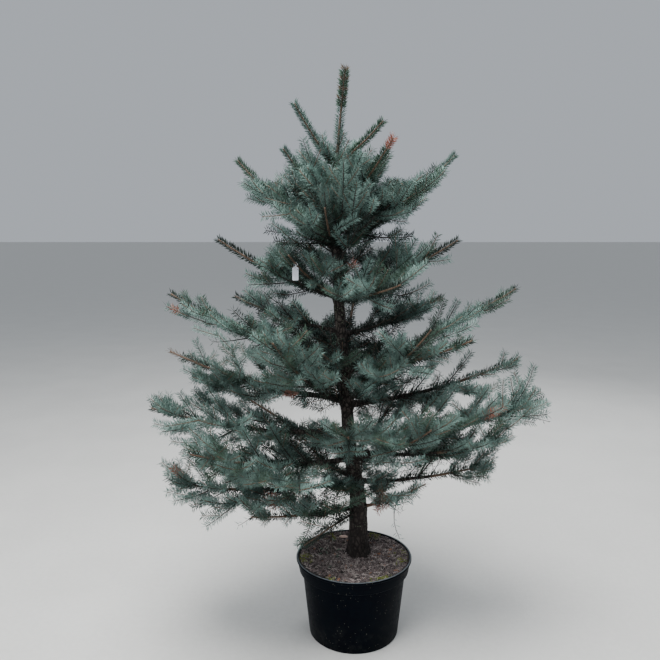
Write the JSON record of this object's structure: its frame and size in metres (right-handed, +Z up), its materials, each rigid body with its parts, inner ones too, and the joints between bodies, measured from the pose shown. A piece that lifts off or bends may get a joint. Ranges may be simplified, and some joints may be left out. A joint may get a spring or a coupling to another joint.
{
  "type": "potted blue spruce",
  "caption": "Young potted blue spruce: whorls of upturned boughs with stiff blue-green needles round a leaning trunk, in a round dark plastic nursery pot filled with bark compost.",
  "frame": {"origin": "middle of the pot's flat underside, which stands on the ground", "axes": "+Z up the plant, -Y towards the viewer, +X to the viewer's right"},
  "size_m": [1.55, 1.0583, 2.29],
  "materials": {
    "pot": "moulded, slightly glossy, dark bottle green to black",
    "soil": "bark compost with pale fibres and moss",
    "bark": "rough, scaly, grey brown",
    "needles": "waxy blue-green needles",
    "tag": "plain white plastic strip"
  },
  "bodies": {
    "root": {"bough_2_back": "bark", "bough_2_left": "bark", "bough_2_right": "bark", "bough_3_back_left": "bark", "bough_3_front_left": "bark", "bough_3_right": "bark", "bough_4_back": "bark", "bough_4_left": "bark", "bough_4_right": "bark", "bough_5_left": "bark", "foliage_10_back": "needles", "foliage_10_front": "needles", "foliage_10_front_right": "needles", "foliage_10_left": "needles", "foliage_10_right": "needles", "foliage_11_back": "needles", "foliage_11_left": "needles", "foliage_11_right": "needles", "foliage_1_back": "needles", "foliage_1_front": "needles", "foliage_1_left": "needles", "foliage_1_right": "needles", "foliage_2_back": "needles", "foliage_2_left": "needles", "foliage_2_right": "needles", "foliage_3_back_left": "needles", "foliage_3_back_right": "needles", "foliage_3_front_left": "needles", "foliage_3_front_right": "needles", "foliage_3_right": "needles", "foliage_4_back": "needles", "foliage_4_front": "needles", "foliage_4_left": "needles", "foliage_4_right": "needles", "foliage_5_back": "needles", "foliage_5_front_left": "needles", "foliage_5_front_right": "needles", "foliage_5_left": "needles", "foliage_5_right": "needles", "foliage_6_back": "needles", "foliage_6_front": "needles", "foliage_6_front_right": "needles", "foliage_6_left": "needles", "foliage_6_right": "needles", "foliage_7_back_right": "needles", "foliage_7_left": "needles", "foliage_8_back": "needles", "foliage_8_front_left": "needles", "foliage_8_front_right": "needles", "foliage_8_left": "needles", "foliage_8_right": "needles", "foliage_9_back": "needles", "foliage_9_front": "needles", "foliage_9_left": "needles", "foliage_9_right": "needles", "foliage_leader": "needles", "plant_tag": "tag", "pot": "pot", "soil": "soil", "trunk": "bark"}
  },
  "joints": []
}
